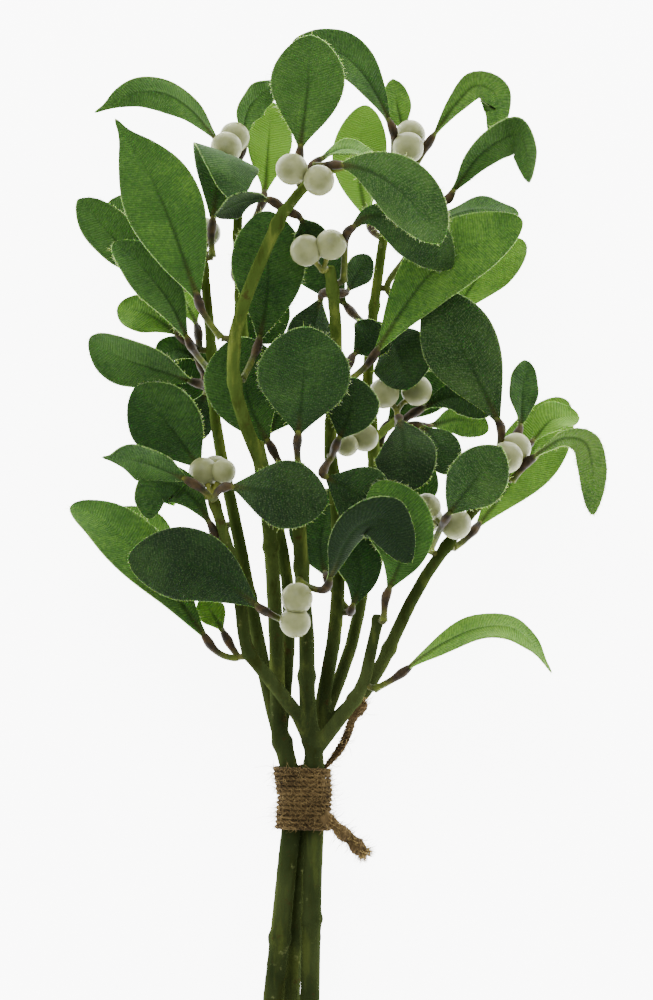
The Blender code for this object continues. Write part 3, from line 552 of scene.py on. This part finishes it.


# For each blade of a node, the higher one first: how light it is, 0 dark to 1 bright, and how velvety. The
# lightness is partly the print and partly painted light: high for leaves lit through from behind, low for
# leaves in shade.
PRINTS_AND_LIGHT = {
    "leaf_middle_front": [(0.27, 0.35)], "leaf_upper_left_big": [(0.58, 0.15)],
    "leaf_pair_top": [(0.54, 0.60), (0.66, 0.5)], "leaf_top_velvet": [(0.42, 0.95)],
    "leaf_right_velvet": [(0.27, 1.0)], "leaf_pair_diagonal": [(0.66, 0.25), (0.10, 0.1)],
    "leaf_low_left_dark": [(0.08, 0.3)], "leaf_pair_middle_left": [(0.40, 0.3), (0.10, 0.5)],
    "leaf_low_right": [(0.56, 0.1)], "leaf_claw": [(-0.4, 0.0)], "leaf_lowest_right": [(0.80, 0.25)],
    "leaf_pair_low_left": [(0.62, 0.2), (0.9, 0.1)], "leaf_left_middle": [(0.30, 0.2)],
    "leaf_spoon": [(0.45, 0.35)],
    "leaf_left_oblique": [(0.50, 0.3)], "leaf_pair_left_light": [(1.0, 0.1), (0.75, 0.15)],
    "leaf_pair_left_outer": [(0.45, 0.3), (0.5, 0.2)], "leaf_pair_top_left": [(0.55, 0.3), (0.56, 0.4)],
    "leaf_pair_top_back": [(1.1, 0.1), (0.4, 0.1)], "leaf_folded": [(0.34, 0.35)],
    "leaf_pair_fork": [(0.08, 0.3), (0.15, 0.3)], "leaf_behind_stem": [(0.36, 0.2)],
    "leaf_pair_inner": [(0.22, 0.2), (0.15, 0.2)], "leaf_pair_arch": [(0.45, 0.35), (0.7, 0.3)],
    "leaf_pair_back_right": [(1.1, 0.1), (0.4, 0.1)], "leaf_pair_top_right": [(0.66, 0.8), (0.50, 0.6)],
    "leaf_curled": [(0.28, 0.5)], "leaf_pair_right_back": [(0.45, 0.2), (0.85, 0.1)],
    "leaf_pair_right_tip": [(0.35, 0.2), (0.85, 0.2)], "leaf_right_bright": [(0.9, 0.15)],
    "leaf_right_hanging": [(0.75, 2.2)], "leaf_right_inner": [(0.36, 0.8)],
    "leaf_pair_twig": [(0.2, 0.4), (0.02, 0.3)], "leaf_pair_inner_right": [(0.3, 0.1), (0.14, 0.2)],
    "leaf_pair_left_inner": [(0.4, 0.2), (0.12, 0.2)], "leaf_left_hook": [(0.35, 0.3)],
    "leaf_left_low_back": [(0.70, 0.1)], "leaf_pair_centre": [(0.15, 0.2), (0.12, 0.3)],
    "leaf_pair_centre_back": [(0.3, 0.1), (0.2, 0.1)], "leaf_left_broad": [(0.42, 0.2)],
    "leaf_pair_right_inner": [(0.25, 0.2), (0.7, 0.1)], "leaf_pair_floor_left": [(0.35, 0.1), (0.35, 0.1)],
    "leaf_pair_floor_right": [(0.4, 0.1), (0.4, 0.1)], "leaf_floor_low_left": [(0.4, 0.1)],
}

sprigs = bmesh.new()
for side in SIDES:
    sprigs.from_mesh(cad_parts[f"sprig_{side}"].data)
bark = BVHTree.FromBMesh(sprigs)
sprigs.free()


def add_peg(bm, joint, radius, depth, share):
    """The moulded peg from a joint to the nearest stem, which it enters by that depth."""
    spot = bark.find_nearest(joint)[0]
    add_stalk(bm, [joint, joint.lerp(spot, 0.5), spot + (spot - joint).normalized() * depth],
              lambda s, total: radius, lambda s, total: share)


def sleeve_radius(two):
    """A petiole's radius along it: a swollen sleeve near each blade, and a foot if there is one blade."""
    def radius(s, total):
        near = min(s, total - s) if two else s
        swell = math.exp(-((near - 3.6 * MM) / (2.0 * MM)) ** 2)
        foot = 0.0 if two else math.exp(-((total - s) / (1.2 * MM)) ** 2)
        return MM * (0.55 + 0.35 * min(1, near / (1.5 * MM)) + 0.42 * swell + 0.25 * foot)
    return radius


def sleeve_brown(two):
    """How brown the petiole is along it: the sleeve near each blade, and green after that."""
    def brown(s, total):
        near = min(s, total - s) if two else s
        return min(1.0, near / (1.2 * MM)) * max(0.0, 1 - max(0.0, near - 6 * MM) / (4 * MM))
    return brown


FIRST_LEAF_SEED = 500
TIGHT = 0.6 * MM  # closer than this, two points of a petiole are one
cloth_finish, sleeve_finish = leaf_cloth(), sleeve_plastic()
for number, (node, prints_and_light) in enumerate(PRINTS_AND_LIGHT.items()):
    dice = random.Random(FIRST_LEAF_SEED + number)
    tip, rings, end = rows_of(node)
    if end is not None and (end - tip).dot(up_stem) > 0:  # the blade that ends higher comes first
        tip, rings, end = end, rings[::-1], tip
    reach = len(STATIONS)
    blades, inner = [(tip, rings[:reach][::-1])], rings[reach:]
    two = end is not None and len(prints_and_light) == 2
    if two:
        blades.append((end, rings[-reach:]))
        inner = rings[reach:-reach]
    bm, _, _ = layered()
    roots = [add_blade(bm, point, rows, *looks, dice) for (point, rows), looks in zip(blades, prints_and_light)]
    inside = [centre_of(rows[0]).lerp(centre_of(rows[1]), 0.4) for _, rows in blades]
    path = [inside[0], roots[0], *(centre_of(ring) for ring in inner)]
    joint = path[2 + len(inner) // 2] if two else None
    if two:
        path += [roots[1], inside[1]]
    petiole = path[:1]
    for p in path[1:]:
        if (p - petiole[-1]).length > TIGHT:
            petiole.append(p)
    add_stalk(bm, petiole, sleeve_radius(two), sleeve_brown(two))
    add_peg(bm, joint if two else petiole[-1], 0.88 * MM, 0.7 * MM, 0.5)
    piece = finished(node.replace("leaf", "velvet"), bm, [cloth_finish, sleeve_finish])
    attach(piece, "root")
    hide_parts(node)


# The berries: smooth, slightly uneven balls of cloudy white wax in ones, twos and threes. A cluster's pedicels
# are moulded in yellow-green plastic and leave the stem at one foot, between two little pointed bracts.
def berry_wax():
    f = Finish("cloudy_wax", Roughness=0.46, Specular_IOR_Level=0.25, Subsurface_Weight=0.85,
               Subsurface_Scale=2.2 * MM, Subsurface_Radius=(1.0, 0.95, 0.75))
    at = f.place()
    cloud = f.noise(at, 5 * MM)
    grain = f.noise(at, 0.9 * MM)
    white = f.mix(f.fade(cloud, 0.3, 0.7), (0.130, 0.142, 0.056), (0.200, 0.214, 0.094))
    white = f.mix(f.fade(grain, 0.6, 0.8) * 0.25, white, (0.130, 0.128, 0.050))
    f.feed("Base Color", white)
    f.feed("Roughness", f.fade(cloud, 0.3, 0.7, 0.38, 0.55))
    f.relief(cloud * 0.5 + grain * 0.5, 0.10 * MM)
    return f.material


def pedicel_plastic():
    f = Finish("yellow_green_plastic", Roughness=0.55, Specular_IOR_Level=0.2)
    streak = f.noise(f.place(), 1.8 * MM, 4.0)
    green = f.mix(f.fade(streak, 0.35, 0.7), (0.050, 0.062, 0.006), (0.130, 0.140, 0.018))
    f.feed("Base Color", green)
    f.feed("Roughness", f.fade(streak, 0.3, 0.7, 0.42, 0.62))
    f.relief(streak, 0.2 * MM)
    return f.material


SMALLEST, LARGEST = 3.0, 5.0  # a berry's radius in millimetres


def balls_of(bm):
    """The centres and radii of the balls in a cluster: points that lie on one ball with their neighbours."""
    found = []
    for v in bm.verts:
        near = np.array([v.co, *(edge.other_vert(v).co for edge in v.link_edges)], dtype=float) / MM
        if len(near) < 5:
            continue
        table = np.hstack([2 * near, np.ones((len(near), 1))])
        fit, *_ = np.linalg.lstsq(table, (near ** 2).sum(axis=1), rcond=None)
        radius = math.sqrt(max(0.0, fit[3] + fit[:3] @ fit[:3]))
        off = np.abs(np.linalg.norm(near - fit[:3], axis=1) - radius).max()
        if off < 0.01 and SMALLEST < radius < LARGEST:
            centre = Vector(fit[:3]) * MM
            if all((centre - other).length > MM for other, _ in found):
                found.append((centre, radius * MM))
    return found


def clear_of(p, balls):
    return min((p - centre).length - size for centre, size in balls)


def any_way(dice):
    return Vector((dice.gauss(0, 1), dice.gauss(0, 1), dice.gauss(0, 1)))


def add_berry(bm, centre, size, low_side, pinched, dice):
    """A slightly uneven ball, drawn in round its pedicel on the low side."""
    ball = bmesh.ops.create_icosphere(bm, subdivisions=4, radius=1.0)["verts"]
    lean, phase = any_way(dice).normalized(), dice.uniform(0, 6.28)
    for v in ball:
        out = v.co.normalized()
        pinch = 0.10 * pinched * max(0.0, out.dot(low_side) - 0.93) / 0.07
        uneven = 0.012 * math.sin(3.1 * out.dot(lean) + phase)
        uneven += 0.006 * math.sin(7 * out.x + 5 * out.y + phase)
        v.co = centre + out * size * (1 + uneven - pinch)


def pedicel_radius(s, total):
    at_berry, at_foot = math.exp(-(s / (0.9 * MM)) ** 2), math.exp(-((total - s) / (1.1 * MM)) ** 2)
    return MM * (0.62 + 0.30 * at_berry + 0.22 * at_foot)


def add_bract(bm, foot, lean):
    """A little pointed scale at the foot of a cluster."""
    turn = lean.to_track_quat("Z", "Y").to_matrix().to_4x4()
    made = bmesh.ops.create_cone(bm, cap_ends=True, segments=10, radius1=0.62 * MM, radius2=0.12 * MM,
                                 depth=2.3 * MM, matrix=Matrix.Translation(foot + lean * 0.9 * MM) @ turn)
    for v in made["verts"]:
        for face in v.link_faces:
            face.material_index, face.smooth = 1, True


FIRST_BERRY_SEED = 90
wax, pedicel_finish = berry_wax(), pedicel_plastic()
for number, node in enumerate(sorted(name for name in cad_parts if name.startswith("berr"))):
    dice = random.Random(FIRST_BERRY_SEED + number)
    bm = welded(node)
    balls = balls_of(bm)
    points = [v.co.copy() for v in bm.verts]
    bm.free()
    foot = max(points, key=lambda p: clear_of(p, balls))
    farthest = clear_of(foot, balls)
    foot = centre_of([p for p in points if (p - foot).length < 2.2 * MM
                      and clear_of(p, balls) > farthest - 1.5 * MM])
    stalked = clear_of(foot, balls) > 0.8 * MM
    cluster, _, _ = layered()
    for centre, size in balls:
        low_side = (foot - centre).normalized()
        add_berry(cluster, centre, size, low_side, stalked, dice)
        if stalked:
            start, bow = centre + low_side * size * 0.86, any_way(dice) * 0.25 * MM
            add_stalk(cluster, [start, start.lerp(foot, 0.5) + bow, foot - low_side * 0.1 * MM],
                      pedicel_radius, lambda s, total: 0)
    for face in cluster.faces:
        face.smooth = True
    if stalked:
        add_peg(cluster, foot, 0.85 * MM, 0.6 * MM, 0)
        out = sum(((centre - foot).normalized() for centre, _ in balls), Vector()).normalized()
        for sign in (-1, 1):
            add_bract(cluster, foot, (out + sign * out.orthogonal() * 0.5).normalized())
    piece = finished(f"wax_{node}", cluster, [wax, pedicel_finish])
    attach(piece, "root")
    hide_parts(node)


# The binding: a hairy three-ply jute twine wound thirteen times round the three trunks, turn against turn. One
# end runs up beside the front sprig and the other sticks out below as a thick frayed tuft.
TURNS = 13
BAND_LOW, BAND_HIGH = -8.7 * MM, 8.7 * MM
TWINE_R = 0.72 * MM
LAY = 4.0 * MM  # the length in which the plies go once round each other


def jute():
    f = Finish("hairy_jute", Roughness=0.9, Specular_IOR_Level=0.05, Sheen_Weight=0.04, Sheen_Roughness=0.5,
               Sheen_Tint=(0.9, 0.75, 0.4, 1))
    at = f.place()
    strand = f.stored("cloth")
    _, _, groove_shade_and_hair = f.split(strand)  # below 0 in the grooves between plies, 1 to 2 on the loose hairs
    fibres = f.noise(f.stretched(strand, (0.10, 0.0035, 0)), 0.22 * MM, 4.0, 0.7)
    cloud = f.noise(at, 6 * MM, 4.0)
    knots = f.noise(at, 1.2 * MM)
    brown = f.mix(f.fade(cloud, 0.32, 0.68), (0.024, 0.016, 0.007), (0.078, 0.053, 0.022))
    brown = f.mix(f.fade(fibres, 0.50, 0.72) * 0.7, brown, (0.230, 0.150, 0.066))
    brown = f.mix(f.fade(fibres, 0.48, 0.28) * 0.8, brown, (0.014, 0.008, 0.004))
    brown = f.mix(f.fade(knots, 0.62, 0.8) * 0.5, brown, (0.060, 0.034, 0.018))
    # painted shade: the grooves between plies and between turns are darkened nearly to black
    brown = f.mix(f.fade(groove_shade_and_hair, -0.10, -0.42) * 0.9, brown, (0.005, 0.003, 0.002))
    brown = f.mix(f.fade(groove_shade_and_hair, 0.5, 1.0) * 0.75, brown, (0.250, 0.175, 0.070))
    f.feed("Base Color", f.mix(f.fade(groove_shade_and_hair, 1.2, 2.0), brown, (0.400, 0.290, 0.110)))
    f.relief(fibres * 0.8 + knots * 0.2, 0.18 * MM)
    return f.material


def add_ply(bm, line, core, sides, radius, dice):
    """One ply, a tube along the line, whose thickness wanders a little. core is the middle of the twine."""
    side, along, frames = line[1].orthogonal(), 0.0, []
    for k, p in enumerate(line):
        ahead = (line[min(k + 1, len(line) - 1)] - line[max(k - 1, 0)]).normalized()
        side = (side - ahead * side.dot(ahead)).normalized()
        along += (p - line[k - 1]).length if k else 0.0
        thick = radius(k / (len(line) - 1)) * (1 + 0.10 * math.sin(along / MM * 1.7) + dice.gauss(0, 0.03))
        frames.append((p, side.copy(), ahead.cross(side), along, thick))
    count = len(line) - 1

    def place(u, w):
        p, a, b, _, thick = frames[round(u * count)]
        return p + (a * math.cos(math.tau * w) + b * math.sin(math.tau * w)) * thick

    tube, t_cloth, _ = layered()
    for v, u, w in cut_grid(tube, count, sides, place):
        k = round(u * count)
        # how deep the point lies between plies and between turns, kept below 0, where the finish paints shade
        outermost = (line[k] - core[k]).length + frames[k][4]
        between_plies = (v.co - core[k]).length / outermost - 1
        between_turns = 0.9 * (0.66 - abs((v.co - core[k]).dot(up_stem)) / outermost)
        v[t_cloth] = Vector((frames[k][3], w, min(between_plies, between_turns, 0)))
    close_tube(tube, 0.002 * MM)
    pour(tube, bm)


def add_hair(bm, foot, lean, reach, thin, pale=1.0):
    """A fine fibre that stands out of the twine and bends once. pale is up to 2."""
    cloth = bm.verts.layers.float_vector["cloth"]
    half = reach / 2
    for thick_end, thin_end in ((1.0, 0.6), (0.6, 0.2)):
        turn = lean.to_track_quat("Z", "Y").to_matrix().to_4x4()
        made = bmesh.ops.create_cone(bm, cap_ends=True, segments=3, radius1=thin * thick_end,
                                     radius2=thin * thin_end, depth=half,
                                     matrix=Matrix.Translation(foot + lean * half / 2) @ turn)
        for v in made["verts"]:
            v[cloth] = Vector((0, 0, pale))
        foot = foot + lean * half * 0.98
        lean = (lean + lean.orthogonal() * 0.45).normalized()


WALL_END = 7.5 * MM  # how far from its middle the band's wall is still full
SUNK = 0.35 * MM  # how deep the twine presses into the band that stands for it
TWINE_SEED = 7
dice = random.Random(TWINE_SEED)
band = welded("twine")
wall = BVHTree.FromBMesh(band)
band.free()


def wound(angle, y):
    """The middle of the twine at that angle round the trunks, lying on them."""
    out = Vector((math.cos(angle), 0, math.sin(angle)))
    start = bunch @ Vector((0, min(max(y, -WALL_END), WALL_END), 0))
    hit = wall.ray_cast(start, bunch.to_3x3() @ out)[0]
    reach = (hit - start).length if hit else 7 * MM
    return bunch @ (Vector((0, y, 0)) + out * (reach - SUNK + TWINE_R))


STEPS = 56  # in one turn
START, FINISH = math.radians(-152), math.radians(-27)  # where the winding starts and ends round the trunks
total_turn = math.tau * TURNS + FINISH - START
count = int(STEPS * total_turn / math.tau)


def wandering(k):
    """How far up the band the twine is at step k, not quite evenly wound."""
    unevenness = 0.05 * MM * math.sin(k * 0.061) * math.sin(math.pi * k / count)
    return BAND_LOW + (BAND_HIGH - BAND_LOW) * k / count + unevenness


rough_line = [wound(START + total_turn * k / count, wandering(k)) for k in range(count + 1)]
# the twine lies on the trunks without following their hollows
line = [centre_of(rough_line[max(0, k - 2):k + 3]) for k in range(len(rough_line))]

LOOSE_STEPS = 40  # in each loose end
TAIL = ((8.9, 12.5, -5.0), (11.5, 17.5, -1.0), (13.0, 22.0, 0.6), (16.0, 26.0, 2.0))
TUFT = ((5.0, -4.5, 5.0), (8.3, -7.5, 4.8), (12.5, -11.2, 3.4), (15.8, -14.7, 2.2))
tail = [line[-1], *(bunch @ (Vector(p) * MM) for p in TAIL)]
tuft = [bunch @ (Vector(p) * MM) for p in TUFT]


def run_of(points):
    """The loose end through those points, step by step."""
    places = lengths_along(points)
    return [spline(places, points, places[-1] * k / LOOSE_STEPS) for k in range(LOOSE_STEPS + 1)]


line += run_of(tail)[1:]
tuft_line = run_of(tuft)


def stout(k, tufted):
    """How thick the twine is at step k against its wound part: the top end has opened, and ends in a knot."""
    if tufted:
        return 1 + 0.18 * math.sin(k * 0.42)
    opened = max(0.0, min(1.0, (k - count) / 10))
    knot = math.exp(-((k - count - 36) / 3.5) ** 2)
    return 1 + 0.75 * opened + 0.9 * knot


def plies_of(course, plies, spread, tufted):
    """The lines of the plies, laid round the course, which spread where the end is tufted."""
    lines = []
    for ply in range(plies):
        along, twisted = 0.0, []
        for k, p in enumerate(course):
            along += (p - course[k - 1]).length if k else 0.0
            ahead = (course[min(k + 1, len(course) - 1)] - course[max(k - 1, 0)]).normalized()
            side = (up_stem - ahead * ahead.dot(up_stem)).normalized()
            angle = math.tau * (along / LAY + ply / plies)
            t = k / (len(course) - 1)
            splayed = 1 + tufted * (0.55 * t ** 3 + 0.15 * math.sin(9 * t + ply))
            out = side * math.cos(angle) + ahead.cross(side) * math.sin(angle)
            twisted.append(p + out * spread * stout(k, tufted) * splayed)
        lines.append(twisted)
    return lines


PLY_SIDES = 8
binding, _, _ = layered()
for twisted in plies_of(line, 3, 0.38 * MM, 0):
    add_ply(binding, twisted, line, PLY_SIDES,
            lambda t, n=len(twisted) - 1: 0.365 * MM * stout(t * n, 0), dice)
for twisted in plies_of(tuft_line, 4, 1.00 * MM, 1):
    twisted = twisted[:len(twisted) - dice.randrange(0, 4)]  # cut unevenly
    add_ply(binding, twisted, tuft_line, PLY_SIDES,
            lambda t, n=len(twisted) - 1: 0.80 * MM * stout(t * n, 1) * (1 - 0.45 * t ** 6), dice)

HAIRS = 2300  # short ones all over the wound part, and a few long ones
POUR_EVERY = 60
trunk_axis = bunch @ Vector((0, 0, 0))
hairs, _, _ = layered()
for number in range(HAIRS):
    k = int(dice.random() * (count - 2)) + 1
    out = line[k] - trunk_axis
    out = (out - up_stem * out.dot(up_stem)).normalized()
    ahead = (line[k + 1] - line[k - 1]).normalized()
    lean = out * abs(dice.gauss(0.5, 0.35)) + ahead * dice.gauss(0, 0.8) + up_stem * dice.gauss(0, 0.6)
    reach = min(0.5 * MM + dice.expovariate(1 / (1.2 * MM)), 7.5 * MM)
    foot = line[k] + out * TWINE_R * dice.uniform(0.4, 1.0)
    add_hair(hairs, foot, lean.normalized(), reach, dice.uniform(0.032, 0.072) * MM)
    if number % POUR_EVERY == 0:
        pour(hairs, binding)


def round_about(ahead, dice):
    """A direction square to ahead, anywhere round it."""
    return (Matrix.Rotation(dice.uniform(0, math.tau), 3, ahead) @ ahead.orthogonal()).normalized()


PALENESS = (0.4, 1.0, 1.6, 2.0)
# each loose end, how many fibres stand along it and how many brush out of its tip, and its radius
for course, along_it, at_tip, thick in ((line[count:], 240, 60, 1.2 * MM), (tuft_line, 900, 520, 1.75 * MM)):
    for _ in range(along_it):
        k = dice.randrange(1, len(course) - 1)
        ahead = (course[k + 1] - course[k - 1]).normalized()
        out = round_about(ahead, dice)
        lean = (out * abs(dice.gauss(0.5, 0.4)) + ahead * dice.gauss(0.5, 0.6)).normalized()
        foot = course[k] + out * thick * dice.uniform(0.3, 0.95)
        reach = min(0.6 * MM + dice.expovariate(1 / (1.0 * MM)), 5 * MM)
        add_hair(hairs, foot, lean, reach, dice.uniform(0.05, 0.10) * MM, dice.choice(PALENESS))
    ahead = (course[-1] - course[-3]).normalized()
    for _ in range(at_tip):
        out = round_about(ahead, dice)
        lean = (ahead + out * abs(dice.gauss(0, 0.55))).normalized()
        foot = course[-1] + out * thick * dice.uniform(0, 0.9) - ahead * 0.4 * MM
        reach = dice.uniform(0.8, 3.2) * MM
        add_hair(hairs, foot, lean, reach, dice.uniform(0.05, 0.11) * MM, dice.choice(PALENESS))
    pour(hairs, binding)
piece = finished("jute_twine", binding, [jute()])
piece.data.shade_smooth()
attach(piece, "root")
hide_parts("twine")
